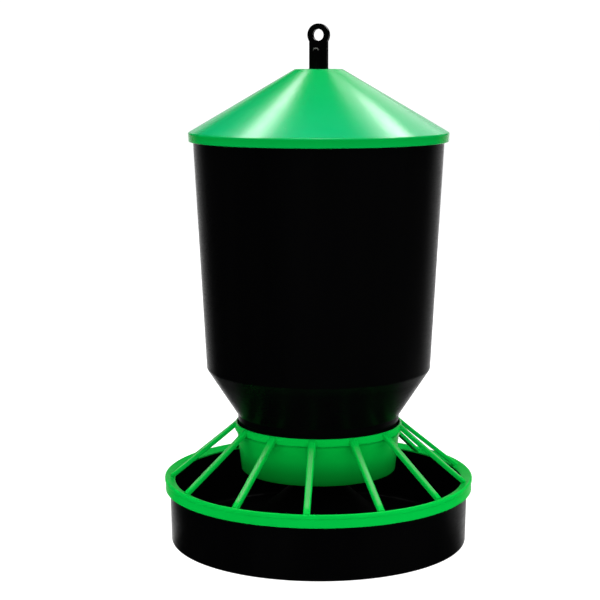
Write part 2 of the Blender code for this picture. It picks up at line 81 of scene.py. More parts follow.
# ----------------------------------------------------------------- materials
class Nodes:
    """A material's node tree with short calls for the nodes used here."""

    def __init__(self, name):
        self.mat = bpy.data.materials.new(name)
        self.mat.use_nodes = True
        self.tree = self.mat.node_tree
        self.bsdf = self.tree.nodes["Principled BSDF"]
        self.coord = self.tree.nodes.new("ShaderNodeTexCoord")

    def link(self, a, b):
        self.tree.links.new(a, b)

    def mapped(self, scale):
        node = self.tree.nodes.new("ShaderNodeMapping")
        node.inputs["Scale"].default_value = scale
        self.link(self.coord.outputs["Object"], node.inputs["Vector"])
        return node.outputs["Vector"]

    def noise(self, scale, detail=3.0, rough=0.5, stretch=(1, 1, 1), distortion=0.0):
        node = self.tree.nodes.new("ShaderNodeTexNoise")
        node.inputs["Scale"].default_value = scale
        node.inputs["Detail"].default_value = detail
        node.inputs["Roughness"].default_value = rough
        node.inputs["Distortion"].default_value = distortion
        self.link(self.mapped(stretch), node.inputs["Vector"])
        return node.outputs["Fac"]

    def voronoi(self, scale, stretch=(1, 1, 1), feature="F1"):
        node = self.tree.nodes.new("ShaderNodeTexVoronoi")
        node.feature = feature
        node.inputs["Scale"].default_value = scale
        self.link(self.mapped(stretch), node.inputs["Vector"])
        return node.outputs["Distance"]

    def ramp(self, fac, stops):
        node = self.tree.nodes.new("ShaderNodeValToRGB")
        ramp = node.color_ramp
        while len(ramp.elements) < len(stops):
            ramp.elements.new(0.5)
        for element, (pos, colour) in zip(ramp.elements, stops):
            element.position = pos
            element.color = (*colour, 1.0)
        self.link(fac, node.inputs["Fac"])
        return node.outputs["Color"]

    def span(self, fac, lo, hi, from_lo=0.0, from_hi=1.0):
        node = self.tree.nodes.new("ShaderNodeMapRange")
        node.inputs["From Min"].default_value = from_lo
        node.inputs["From Max"].default_value = from_hi
        node.inputs["To Min"].default_value = lo
        node.inputs["To Max"].default_value = hi
        self.link(fac, node.inputs["Value"])
        return node.outputs["Result"]

    def math(self, op, a, b):
        node = self.tree.nodes.new("ShaderNodeMath")
        node.operation = op
        for socket, value in zip(node.inputs, (a, b)):
            if isinstance(value, (int, float)):
                socket.default_value = value
            else:
                self.link(value, socket)
        return node.outputs["Value"]

    def mix(self, fac, a, b):
        node = self.tree.nodes.new("ShaderNodeMix")
        node.data_type = "RGBA"
        self.link(fac, node.inputs["Factor"])
        for socket, value in zip((node.inputs[6], node.inputs[7]), (a, b)):
            if isinstance(value, tuple):
                socket.default_value = (*value, 1.0)
            else:
                self.link(value, socket)
        return node.outputs[2]

    def bump(self, height, strength, distance, after=None):
        node = self.tree.nodes.new("ShaderNodeBump")
        node.inputs["Strength"].default_value = strength
        node.inputs["Distance"].default_value = distance
        self.link(height, node.inputs["Height"])
        if after is not None:
            self.link(after, node.inputs["Normal"])
        return node.outputs["Normal"]

    def height(self):
        node = self.tree.nodes.new("ShaderNodeSeparateXYZ")
        self.link(self.coord.outputs["Object"], node.inputs["Vector"])
        return node.outputs["Z"]

    def radius(self):
        node = self.tree.nodes.new("ShaderNodeSeparateXYZ")
        self.link(self.coord.outputs["Object"], node.inputs["Vector"])
        squares = self.math("ADD", self.math("POWER", node.outputs["X"], 2.0), self.math("POWER", node.outputs["Y"], 2.0))
        return self.math("SQRT", squares, 0.0)

    def arch(self, z):
        """Distance from a line along Y at height z."""
        at = self.tree.nodes.new("ShaderNodeSeparateXYZ")
        self.link(self.coord.outputs["Object"], at.inputs["Vector"])
        rise = self.math("SUBTRACT", at.outputs["Z"], z)
        squares = self.math("ADD", self.math("POWER", at.outputs["X"], 2.0), self.math("POWER", rise, 2.0))
        return self.math("SQRT", squares, 0.0)

    def leaning(self, elevation):
        """How squarely the surface faces outwards and up at that elevation, 1 where it does."""
        at = self.tree.nodes.new("ShaderNodeSeparateXYZ")
        self.link(self.coord.outputs["Object"], at.inputs["Vector"])
        way = self.tree.nodes.new("ShaderNodeSeparateXYZ")
        self.link(self.coord.outputs["Normal"], way.inputs["Vector"])
        out = self.math("ADD", self.math("MULTIPLY", at.outputs["X"], way.outputs["X"]),
                        self.math("MULTIPLY", at.outputs["Y"], way.outputs["Y"]))
        out = self.math("DIVIDE", out, self.radius())
        return self.math("ADD", self.math("MULTIPLY", out, math.cos(math.radians(elevation))),
                         self.math("MULTIPLY", way.outputs["Z"], math.sin(math.radians(elevation))))

    def set(self, **values):
        for key, value in values.items():
            socket = self.bsdf.inputs[key.replace("_", " ")]
            if isinstance(value, (int, float, tuple)):
                socket.default_value = value
            else:
                self.link(value, socket)


def black_plastic(name, rough=0.40, flow=(1, 1, 0.12), dust=0.25, gloss=0.20, dull=None, painted_highlight=None):
    """Black polypropylene: satin moulded skin, faint flow lines, fine scuffs and a little dust.

    dull is (gloss, by, from, to): a part of the piece with less gloss, below a height or inside a
    radius, that ends between the two values. painted_highlight is (height, inner, outer, colour):
    a pale painted highlight on the rim of an arch over a line along Y at that height, between two radii.
    """
    n = Nodes(name)
    cloud = n.noise(9.0, 4.0, 0.55, flow)
    grain = n.noise(2600.0, 2.0, 0.5)
    scuff = n.noise(60.0, 6.0, 0.7, (1, 1, 9), 0.6)
    specks = n.voronoi(420.0)
    colour = n.ramp(cloud, [(0.30, (0.0006, 0.0006, 0.0007)), (0.75, (0.0014, 0.0014, 0.0015))])
    powder = n.math("MULTIPLY", n.span(specks, 1.0, 0.0, 0.02, 0.09), n.span(cloud, 0.0, dust, 0.45, 0.75))
    colour = n.mix(powder, colour, (0.014, 0.013, 0.012))
    # painted highlight: the rim of the arch is painted pale where its rounded edge would catch the light
    if painted_highlight:
        arch = n.arch(painted_highlight[0])
        highlight_mask = n.math("MULTIPLY", n.span(arch, 0.0, 1.0, painted_highlight[1], painted_highlight[1] + 0.0008),
                     n.span(arch, 1.0, 0.0, painted_highlight[2], painted_highlight[2] + 0.0002))
        highlight_mask = n.math("MULTIPLY", highlight_mask, n.span(n.height(), 0.0, 1.0, painted_highlight[0], painted_highlight[0] + 0.0026))
        highlight_mask = n.math("MULTIPLY", highlight_mask, n.span(n.radius(), 0.0, 1.0, 0.0095, 0.0105))
        highlight_mask = n.math("MULTIPLY", highlight_mask, n.span(scuff, 0.65, 1.0, 0.35, 0.65))
        colour = n.mix(highlight_mask, colour, painted_highlight[3])
    marks = n.span(scuff, -0.04, 0.10, 0.35, 0.75)
    roughness = n.math("ADD", n.math("ADD", n.span(cloud, rough - 0.04, rough + 0.05, 0.3, 0.7), marks),
                       n.span(grain, -0.02, 0.02))
    normal = n.bump(grain, 0.22, 0.00008)
    normal = n.bump(scuff, 0.05, 0.0004, normal)
    normal = n.bump(cloud, 0.10, 0.0008, normal)
    n.set(Base_Color=colour, Roughness=roughness, Normal=normal)
    n.bsdf.inputs["Specular IOR Level"].default_value = gloss
    if dull:
        level, by, lo, hi = dull
        n.set(Specular_IOR_Level=n.span(n.height() if by == "height" else n.radius(), level, gloss, lo, hi))
    n.bsdf.inputs["IOR"].default_value = 1.49
    return n.mat


def green_plastic(name, tones, rough=0.30, flow=(1, 1, 0.2), rise=None, painted_shade_within=None, gloss=0.15, dull=None, grain_depth=0.20,
                  painted_highlight=None):
    """Green polypropylene: semi-gloss skin with flow marks, fine grain and light scuffs.

    tones holds a dark, a middle and a light colour; rise is a list of (height, colour) pairs that
    multiply the colour along the piece's own height: painted shade, darker where less light reaches,
    with some shift of tone; painted_shade_within keeps that painted shade to the part of the piece
    nearer to the axis than that radius; dull is (gloss, from, to), the gloss outside a radius;
    painted_highlight is (elevation, near, far, colour), a pale painted highlight line along crests
    that face outwards at that elevation, between two radii.
    """
    n = Nodes(name)
    cloud = n.noise(7.0, 4.0, 0.55, flow)
    streak = n.noise(38.0, 3.0, 0.6, flow, 0.8)
    grain = n.noise(2200.0, 2.0, 0.5)
    scuff = n.noise(75.0, 6.0, 0.72, (1, 1, 4), 0.5)
    colour = n.ramp(cloud, [(0.28, tones[0]), (0.52, tones[1]), (0.78, tones[2])])
    colour = n.mix(n.span(streak, 0.0, 0.30, 0.45, 0.75), colour, tones[2])
    colour = n.mix(n.span(scuff, 0.0, 0.05, 0.62, 0.85), colour, (0.05, 0.50, 0.13))
    # painted shade: the colour is multiplied by a ramp along the height, darker where less light reaches
    if rise:
        lo, hi = rise[0][0], rise[-1][0]
        height = n.span(n.height(), 0.0, 1.0, lo, hi)
        tint = n.ramp(height, [((z - lo) / (hi - lo), c) for z, c in rise])
        if painted_shade_within:
            share = n.span(n.radius(), 1.0, 0.0, painted_shade_within, painted_shade_within + 0.0008)
        else:
            share = n.span(height, 1.0, 1.0)
        blend = n.mix(share, colour, tint)
        n.tree.nodes[-1].blend_type = "MULTIPLY"
        colour = blend
    # painted highlight: pale lines along the crests, standing in for light caught there
    if painted_highlight:
        highlight_mask = n.math("MULTIPLY", n.span(n.leaning(painted_highlight[0]), 0.0, 1.0, 0.925, 0.99),
                     n.span(n.radius(), 0.0, 1.0, painted_highlight[1], painted_highlight[1] + 0.012))
        highlight_mask = n.math("MULTIPLY", highlight_mask, n.span(n.radius(), 1.0, 0.0, painted_highlight[2], painted_highlight[2] + 0.004))
        highlight_mask = n.math("MULTIPLY", highlight_mask, n.span(streak, 0.80, 1.0, 0.3, 0.7))
        colour = n.mix(highlight_mask, colour, painted_highlight[3])
    roughness = n.math("ADD", n.span(cloud, rough - 0.03, rough + 0.04, 0.3, 0.7),
                       n.span(scuff, -0.02, 0.08, 0.35, 0.85))
    normal = n.bump(grain, grain_depth, 0.00007)
    normal = n.bump(streak, 0.06, 0.0005, normal)
    normal = n.bump(cloud, 0.08, 0.0010, normal)
    n.set(Base_Color=colour, Roughness=roughness, Normal=normal)
    n.bsdf.inputs["Specular IOR Level"].default_value = gloss
    if dull:
        n.set(Specular_IOR_Level=n.span(n.radius(), gloss, dull[0], dull[1], dull[2]))
    n.bsdf.inputs["IOR"].default_value = 1.49
    return n.mat


def steel_wire(name):
    """Drawn galvanised wire: fine lines along it, dull spangle and a few dark spots."""
    n = Nodes(name)
    lines = n.noise(900.0, 3.0, 0.6, (1, 0.03, 1))
    cloud = n.noise(160.0, 4.0, 0.6)
    spots = n.voronoi(330.0)
    colour = n.ramp(cloud, [(0.3, (0.42, 0.43, 0.45)), (0.7, (0.62, 0.63, 0.64))])
    colour = n.mix(n.span(spots, 0.6, 0.0, 0.03, 0.12), colour, (0.16, 0.15, 0.14))
    n.set(Base_Color=colour, Roughness=n.math("ADD", n.span(lines, 0.22, 0.38), n.span(cloud, -0.04, 0.08)),
          Normal=n.bump(lines, 0.25, 0.00006), Metallic=1.0)
    return n.mat


MAT_HOPPER = black_plastic("hopper_black", 0.30, dull=(0.05, "height", 0.214, 0.232))
MAT_PAN = black_plastic("pan_black", 0.32, (1, 1, 0.3), 0.35, 0.11, (0.008, "radius", 0.1895, 0.1908))
MAT_CONE = black_plastic("cone_black", 0.55, (1, 1, 1), 0.15, 0.005)
# painted highlight: a pale rim painted on the rounded cap of the hanger's rib
MAT_STEM = black_plastic("hanger_black", 0.30, (1, 1, 0.1), 0.15,
                         painted_highlight=(RIB_TOP - RIB_W / 2, 0.0021, 0.0038, (0.160, 0.160, 0.152)))
# painted shade darkens the collar towards its foot, where less light reaches; painted highlight lines run along the
# spoke crests
MAT_GRILL = green_plastic("grill_green", [(0.0004, 0.405, 0.040), (0.0005, 0.430, 0.045), (0.0007, 0.455, 0.051)],
                          0.32, (1, 1, 1),
                          [(0.0928, (1.0, 0.30, 0.26)), (0.1060, (1.0, 0.48, 0.44)), (0.1250, (1.0, 0.88, 0.90)),
                           (0.1400, (1.0, 1.0, 1.0))], 0.1068, 0.10, (0.015, 0.1862, 0.1874),
                          painted_highlight=(57.7, 0.116, 0.184, (0.075, 0.390, 0.105)))
# painted shade darkens the rim below the cone; the same ramp shifts the blue along the cone
MAT_LID = green_plastic("lid_green", [(0.0004, 0.310, 0.072), (0.0005, 0.326, 0.082), (0.0007, 0.342, 0.091)],
                        0.20, (0.6, 0.6, 1.4),
                        [(0.5160, (1.0, 0.98, 0.62)), (0.5200, (1.0, 0.94, 0.52)), (0.5262, (1.0, 0.86, 0.42)),
                         (0.5300, (1.0, 1.0, 1.30)), (0.5600, (1.0, 0.98, 1.10)), (0.6072, (1.0, 0.96, 0.78))],
                        grain_depth=0.10)
MAT_WIRE = steel_wire("wire_steel")


# ------------------------------------------------------------------- helpers
def make(name, bm, mat=None):
    bmesh.ops.recalc_face_normals(bm, faces=bm.faces)
    mesh = bpy.data.meshes.new(name)
    bm.to_mesh(mesh)
    bm.free()
    obj = bpy.data.objects.new(name, mesh)
    scene.collection.objects.link(obj)
    if mat:
        mesh.materials.append(mat)
    return obj


def fillet(points, radii, steps=6):
    """Round the corners of a closed outline; radii maps a corner's index to its radius."""
    out = []
    count = len(points)
    for i, p in enumerate(points):
        radius = radii.get(i, 0.0)
        if not radius:
            out.append(p)
            continue
        here = Vector(p)
        a = (Vector(points[i - 1]) - here).normalized()
        b = (Vector(points[(i + 1) % count]) - here).normalized()
        half = a.angle(b) / 2.0
        reach = radius / math.tan(half)
        centre = here + (a + b).normalized() * (radius / math.sin(half))
        start, end = here + a * reach, here + b * reach
        a0 = math.atan2(start.y - centre.y, start.x - centre.x)
        a1 = math.atan2(end.y - centre.y, end.x - centre.x)
        turn = (a1 - a0 + math.pi) % (2 * math.pi) - math.pi
        for k in range(steps + 1):
            t = a0 + turn * k / steps
            out.append((centre.x + radius * math.cos(t), centre.y + radius * math.sin(t)))
    return out


def offset_path(points, dist):
    """Shift an open polyline to its right by dist, keeping its corners."""
    pts = [Vector(p) for p in points]
    lines = []
    for a, b in zip(pts, pts[1:]):
        d = (b - a).normalized()
        lines.append((a + Vector((d.y, -d.x)) * dist, d))
    out = [lines[0][0]]
    for (p, d), (q, e) in zip(lines, lines[1:]):
        cross = d.x * e.y - d.y * e.x
        if abs(cross) < 1e-6:
            out.append(q)
        else:
            w = q - p
            out.append(p + d * ((w.x * e.y - w.y * e.x) / cross))
    last_p, last_d = lines[-1]
    out.append(pts[-1] + Vector((last_d.y, -last_d.x)) * dist)
    return [(p.x, p.y) for p in out]


def lathe(name, profile, mat=None, seg=SEG):
    """Turn a closed (radius, height) outline round the Z axis."""
    bm = bmesh.new()
    rings = []
    for r, z in profile:
        rings.append([bm.verts.new((r * math.cos(2 * math.pi * k / seg), r * math.sin(2 * math.pi * k / seg), z))
                      for k in range(seg)])
    for a, b in zip(rings, rings[1:] + rings[:1]):
        for k in range(seg):
            j = (k + 1) % seg
            bm.faces.new((a[k], a[j], b[j], b[k]))
    return make(name, bm, mat)


def prism(name, outline, z0, z1, mat=None):
    bm = bmesh.new()
    face = bm.faces.new([bm.verts.new((x, y, z0)) for x, y in outline])
    grown = bmesh.ops.extrude_face_region(bm, geom=[face])
    bmesh.ops.translate(bm, verts=[v for v in grown["geom"] if isinstance(v, bmesh.types.BMVert)],
                        vec=(0, 0, z1 - z0))
    return make(name, bm, mat)


def block(name, lo, hi):
    return prism(name, [(lo[0], lo[1]), (hi[0], lo[1]), (hi[0], hi[1]), (lo[0], hi[1])], lo[2], hi[2])


def sector(name, r0, r1, deg0, deg1, z0, z1, steps=10):
    arc = [math.radians(deg0 + (deg1 - deg0) * k / steps) for k in range(steps + 1)]
    outline = [(r1 * math.cos(a), r1 * math.sin(a)) for a in arc]
    outline += [(r0 * math.cos(a), r0 * math.sin(a)) for a in reversed(arc)]
    return prism(name, outline, z0, z1)


def circle(radius, seg, phase=0.0):
    return [(radius * math.cos(2 * math.pi * k / seg + phase),
             radius * math.sin(2 * math.pi * k / seg + phase)) for k in range(seg)]


def loft(name, rows, mat=None):
    """Skin a list of point loops and close both ends."""
    bm = bmesh.new()
    loops = [[bm.verts.new(p) for p in row] for row in rows]
    count = len(rows[0])
    for a, b in zip(loops, loops[1:]):
        for i in range(count):
            j = (i + 1) % count
            bm.faces.new((a[i], a[j], b[j], b[i]))
    bm.faces.new(loops[0])
    bm.faces.new(loops[-1])
    return make(name, bm, mat)


def along_y(obj, at=(0, 0, 0)):
    obj.data.transform(Matrix.Translation(at) @ Matrix.Rotation(math.radians(90.0), 4, "X"))
    return obj


def turned(obj, degrees):
    obj.data.transform(Matrix.Rotation(math.radians(degrees), 4, "Z"))
    return obj


def join(objs):
    """Gather shapes that don't touch each other into one mesh."""
    bm = bmesh.new()
    for obj in objs:
        bm.from_mesh(obj.data)
    name = objs[0].name
    for obj in objs:
        bpy.data.objects.remove(obj, do_unlink=True)
    return make(name + "_set", bm)


def apply(obj):
    graph = bpy.context.evaluated_depsgraph_get()
    fresh = bpy.data.meshes.new_from_object(obj.evaluated_get(graph))
    obj.modifiers.clear()
    obj.data = fresh
    return obj


def combine(target, tools, operation):
    for tool in tools:
        mod = target.modifiers.new("bool", "BOOLEAN")
        mod.object = tool
        mod.operation = operation
        mod.solver = "EXACT"
        apply(target)
    for tool in tools:
        bpy.data.objects.remove(tool, do_unlink=True)
    return target


def clean(obj):
    bm = bmesh.new()
    bm.from_mesh(obj.data)
    bmesh.ops.remove_doubles(bm, verts=bm.verts, dist=2e-6)
    bmesh.ops.dissolve_degenerate(bm, edges=bm.edges, dist=2e-6)
    bm.to_mesh(obj.data)
    bm.free()
    return obj


def soften(obj, width, segments=2, limit=35.0):
    """Small moulded radius on every sharp edge."""
    mod = obj.modifiers.new("edge_radius", "BEVEL")
    mod.width = width
    mod.segments = segments
    mod.limit_method = "ANGLE"
    mod.angle_limit = math.radians(limit)
    mod.use_clamp_overlap = True
    return apply(obj)


def shade(obj, angle=30.0):
    obj.data.shade_smooth()
    obj.data.set_sharp_from_angle(angle=math.radians(angle))
    return obj


def finish_piece(obj, body, mat, slot, *nodes):
    obj.data.materials.clear()
    obj.data.materials.append(mat)
    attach(obj, body)
    if nodes:
        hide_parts(*nodes)
    return obj


def cross(name, web_w, web_t, rib_w, rib_d, z0, z1):
    a, b, c, d = web_w / 2, web_t / 2, rib_w / 2, rib_d / 2
    outline = [(a, -b), (a, b), (c, b), (c, d), (-c, d), (-c, b),
               (-a, b), (-a, -b), (-c, -b), (-c, -d), (c, -d), (c, -b)]
    return prism(name, outline, z0, z1)


# ----------------------------------------------------------------------- pan
pan_profile = [
    (PAN_R_FOOT - 0.0135, 0.0), (PAN_R_FOOT, 0.0), (PAN_R_RIM, PAN_H),
    (PAN_R_RIM - PAN_WALL, PAN_H), (PAN_R_FOOT - PAN_WALL, PAN_FLOOR),
    (HUB_R, PAN_FLOOR), (HUB_R, HUB_TOP), (HUB_BORE, HUB_TOP),
    (HUB_BORE, HUB_TOP - HUB_PLATE), (HUB_R - 0.0030, HUB_TOP - HUB_PLATE),
    (HUB_R - 0.0030, PAN_RECESS), (PAN_R_FOOT - 0.0150, PAN_RECESS),
]
pan = lathe("tray", fillet(pan_profile, {
    0: 0.0006, 1: 0.0022, 2: 0.0008, 3: 0.0008, 4: 0.0080, 5: 0.0015, 6: 0.0012, 7: 0.0005,
    8: 0.0005, 9: 0.0008, 10: 0.0006, 11: 0.0006}, 5))
reach = 0.0036
sweep = math.sqrt(0.0302 ** 2 - reach ** 2)
inner = math.sqrt(0.0140 ** 2 - reach ** 2)
stops = []
for side in (0, 180):
    outer_a, outer_b = math.atan2(sweep, -reach), math.atan2(reach, -sweep)
    inner_a, inner_b = math.atan2(reach, -inner), math.atan2(inner, -reach)
    outline = [(0.0302 * math.cos(outer_a + (outer_b - outer_a) * k / 16),
                0.0302 * math.sin(outer_a + (outer_b - outer_a) * k / 16)) for k in range(17)]
    outline += [(0.0140 * math.cos(inner_a + (inner_b - inner_a) * k / 10),
                 0.0140 * math.sin(inner_a + (inner_b - inner_a) * k / 10)) for k in range(11)]
    stops.append(turned(prism("stop", outline, 0.0180, HUB_TOP - HUB_PLATE + 0.0005), side))
lugs = []
for k in range(LUG_COUNT):
    mid = 360.0 / LUG_COUNT * k
    lugs.append(sector("lug", PAN_R_RIM - 0.0012, 0.1963, mid - LUG_ARC / 2 - 2.4,
                       mid + LUG_ARC / 2, LUG_Z0, LUG_Z1))
lug_ends = []
for k in range(LUG_COUNT):
    mid = 360.0 / LUG_COUNT * k
    lug_ends.append(sector("lug_end", PAN_R_RIM - 0.0012, 0.1963, mid - LUG_ARC / 2 - 2.4,
                           mid - LUG_ARC / 2 - 0.4, 0.0690, LUG_Z0 + 0.0004, 3))
combine(pan, [join(stops)], "UNION")
combine(pan, [block("foot_notch", (-0.0034, -0.0203, HUB_TOP - 0.0050),
                    (0.0034, 0.0203, HUB_TOP + 0.0010))], "DIFFERENCE")
combine(pan, [join(lugs), join(lug_ends)], "UNION")
shade(clean(pan))
finish_piece(pan, "tray", MAT_PAN, "black_plastic", "pan")

# ----------------------------------------------------------------- feed cone
cone_face = [(CONE_TOP_R, CONE_TOP), (CONE_R - 0.0020, PAN_FLOOR + GAP + 0.0025)]
cone_back = offset_path(cone_face, CONE_WALL)
cone_profile = [
    (0.0128, CONE_TOP), cone_face[0], cone_face[1], (CONE_R, PAN_FLOOR + GAP + 0.0020),
    (CONE_R, PAN_FLOOR + GAP), (cone_back[1][0] - 0.0002, PAN_FLOOR + GAP),
    (CONE_TOP_R - 0.0030, CONE_TOP - 0.0030), (0.0158, CONE_TOP - 0.0030),
    (0.0158, HUB_TOP + GAP), (0.0128, HUB_TOP + GAP),
]
cone = lathe("feed_spreader", fillet(cone_profile, {0: 0.0005, 1: 0.0020, 3: 0.0006}, 5))
combine(cone, [block("foot_way", (-0.0034, -0.0203, HUB_TOP - 0.0010),
                     (0.0034, 0.0203, CONE_TOP + 0.0010))], "DIFFERENCE")
shade(clean(cone))
finish_piece(cone, "tray", MAT_CONE, "black_plastic", "feed_cone")

# --------------------------------------------------------------------- grill
ring_profile = [
    (0.1994, 0.0683), (0.1990, 0.0787), (RING_R, 0.0801), (RING_R, 0.0837), (0.1982, 0.0851),
    (0.1872, 0.0806), (RING_R_IN, 0.0799), (RING_R_IN, 0.0785), (0.1896, 0.0785),
    (0.1899, PAN_H + 0.0004), (0.1939, PAN_H + 0.0004), (0.1944, 0.0812), (0.1968, 0.0806),
    (0.1967, 0.0683),
]
grill = lathe("grill_cage", fillet(ring_profile, {
    0: 0.0005, 1: 0.0007, 2: 0.0007, 3: 0.0012, 4: 0.0013, 5: 0.0004, 6: 0.0003, 7: 0.0004, 8: 0.0003,
    9: 0.0003, 10: 0.0005, 11: 0.0004, 12: 0.0005, 13: 0.0004}, 4))
collar_profile = [
    (BAND_R_IN, BAND_TOP), (BAND_R_TOP, BAND_TOP), (BAND_R, BAND_BOTTOM + 0.0004),
    (BAND_R - 0.0006, BAND_BOTTOM), (0.1061, 0.1425), (0.1046, 0.1340), (0.1029, 0.1190),
    (0.0999, COLLAR_BOTTOM), (0.0977, COLLAR_BOTTOM), (0.1005, 0.1200), (0.1030, 0.1440),
    (0.1040, 0.1475), (0.1053, 0.1500),
]
collar = lathe("collar", fillet(collar_profile, {
    0: 0.0005, 1: 0.0007, 2: 0.0004, 3: 0.0003, 4: 0.0040, 5: 0.0100, 6: 0.0100, 7: 0.0007, 8: 0.0007,
    10: 0.0020, 11: 0.0010, 12: 0.0010}, 4))


def crest_at(r):
    return SPOKE_Z0 - (r - SPOKE_R0) * SPOKE_SLOPE


drop = SPOKE_T * math.sqrt(1 + SPOKE_SLOPE ** 2)
spokes = []
for k in range(SPOKES):
    angle = SPOKE_PHASE + 360.0 / SPOKES * k
    rows = []
    for i in range(37):
        t = i / 36
        r = 0.1066 + (0.1925 - 0.1066) * t
        h = 0.00460 - 0.00050 * t
        root = max(0.0, (0.1350 - r) / 0.0280)
        h += 0.0007 * root ** 2
        if r > 0.1880:
            h += 0.0004 * ((r - 0.1880) / 0.0045) ** 2
        top = min(crest_at(r) + 0.0010 * root ** 2, BAND_TOP - 0.0004)
        low = max(top - drop, PAN_H + 0.0007)
        round_h = min(0.0031, (top - low) * 0.72)
        row = [(-h * 0.88, low), (h * 0.88, low), (h, low + 0.0006)]
        for j in range(11):
            a = math.radians(90.0 * j / 10)
            row.append((h * math.cos(a) ** 0.72 if j < 10 else 0.0, top - round_h * (1 - math.sin(a) ** 0.72)))
        for j in range(1, 11):
            a = math.radians(90.0 * (10 - j) / 10)
            row.append((-h * math.cos(a) ** 0.72, top - round_h * (1 - (math.sin(a) ** 0.72 if j < 10 else 0.0))))
        row.append((-h, low + 0.0006))
        rows.append([(r, y, z) for y, z in row])
    spokes.append(turned(loft("spoke", rows), angle))
hooks = [sector("hook", 0.1941, 0.1975, 360.0 / LUG_COUNT * k - LUG_ARC / 2,
                360.0 / LUG_COUNT * k + LUG_ARC / 2, 0.0687, 0.0720) for k in range(LUG_COUNT)]
combine(grill, [join(spokes), collar, join(hooks)], "UNION")
shade(clean(grill), 28.0)
finish_piece(grill, "cage", MAT_GRILL, "green_plastic", "grill_ring", "grill_collar",
             *["grill_spoke_%02d" % (k + 1) for k in range(SPOKES)])

# -------------------------------------------------------------------- hopper
rim_r = HOP_R_TOP + (HOP_TOP - HOP_Z_TAPER) * 0.035
outer = [
    (rim_r, HOP_TOP), (HOP_R_TOP, HOP_Z_TAPER), (HOP_R_SHOULDER, HOP_Z_SHOULDER),
    (HOP_R_NECK, HOP_Z_NECK), (HOP_R_NECK - 0.0002, HOP_Z_LIP), (NECK_R, HOP_Z_LIP - 0.0012),
    (NECK_R, 0.1510), (NECK_R_END, NECK_Z_END),
]
cone_in = offset_path([outer[1], outer[2], outer[3]], HOP_WALL)
run = (cone_in[1][0] - cone_in[2][0]) / (cone_in[1][1] - cone_in[2][1])
inner = [
    (NECK_R_END - HOP_WALL, NECK_Z_END), (NECK_R_IN - 0.0006, 0.1510), (NECK_R_IN, 0.1580),
    (NECK_R_IN, cone_in[2][1] - (cone_in[2][0] - NECK_R_IN) / run), cone_in[1],
    (HOP_R_TOP - 0.0031, 0.5130), (rim_r - 0.0044, 0.5150), (rim_r - 0.0044, HOP_TOP),
]
hopper = lathe("feed_bin", fillet(outer + inner, {
    0: 0.0006, 2: 0.0060, 3: 0.0015, 4: 0.0008, 5: 0.0005, 6: 0.0020, 7: 0.0008, 8: 0.0008, 9: 0.0030,
    11: 0.0030, 12: 0.0050, 13: 0.0010, 14: 0.0008, 15: 0.0006}, 6))
arms = []
for k in range(4):
    half = 0.0016
    row = [(-half, SPIDER_Z0 + 0.0025), (half, SPIDER_Z0 + 0.0025), (half, SPIDER_Z1 - 0.0020),
           (0.0007, SPIDER_Z1 - 0.0003), (0.0, SPIDER_Z1), (-0.0007, SPIDER_Z1 - 0.0003), (-half, SPIDER_Z1 - 0.0020)]
    rows = []
    for x in (0.0165, 0.0200, 0.0240, 0.0400, 0.0700, 0.0900, 0.0945, 0.0985):
        wide = 1.0 + 1.3 * max(0.0, (0.0240 - x) / 0.0075) ** 2 + 1.3 * max(0.0, (x - 0.0900) / 0.0085) ** 2
        rows.append([(x, y * wide, z) for y, z in row])
    arms.append(turned(loft("arm", rows), 45.0 + 90.0 * k))
combine(hopper, [join(arms), prism("boss", circle(SPIDER_R, 96), SPIDER_Z0, SPIDER_Z1)], "UNION")
combine(hopper, [cross("key_slot", 0.0296, 0.0070, 0.0085, 0.0244,
                       SPIDER_Z0 - 0.003, SPIDER_Z1 + 0.003)], "DIFFERENCE")
shade(clean(hopper))
finish_piece(hopper, "bin", MAT_HOPPER, "black_plastic", "hopper", "neck_spider")


# ---------------------------------------------------------------- lower stem
def leg_holes(z):
    tools = []
    for side in (-1, 1):
        tools.append(along_y(prism("leg_hole", circle(PIN_WIRE / 2 + 0.0003, 32), -0.03, 0.03),
                             (side * PIN_PITCH / 2, 0, z)))
    return tools


lower = cross("hanger_lower", WEB_W, WEB_T, RIB_W, RIB_D, FOOT_Z0 + 0.0020, SPLICE_Z0)
combine(lower, [
    prism("foot", [(FOOT_REACH, -WEB_T / 2), (FOOT_REACH, WEB_T / 2), (-FOOT_REACH, WEB_T / 2),
                   (-FOOT_REACH, -WEB_T / 2)], FOOT_Z0, FOOT_Z1),
    block("half_web", (-WEB_W / 2, GAP / 2, SPLICE_Z0 - 0.002), (WEB_W / 2, WEB_T / 2, SPLICE_Z1 - GAP)),
    block("half_rib", (-RIB_W / 2, GAP / 2, SPLICE_Z0 - 0.002), (RIB_W / 2, RIB_D / 2, SPLICE_Z1 - GAP)),
], "UNION")
soften(clean(lower), 0.0006, 3)
combine(lower, [prism("flange", circle(FLANGE_R, 96), CONE_TOP + GAP, CONE_TOP + GAP + FLANGE_H)], "UNION")
tools = leg_holes(SPLICE_PIN_Z)
for k in range(PIN_HOLES):
    tools += leg_holes(PIN_Z + PIN_STEP * k)
combine(lower, [join(tools)], "DIFFERENCE")
shade(clean(lower))
finish_piece(lower, "hanger", MAT_STEM, "black_plastic", "lower_stem")

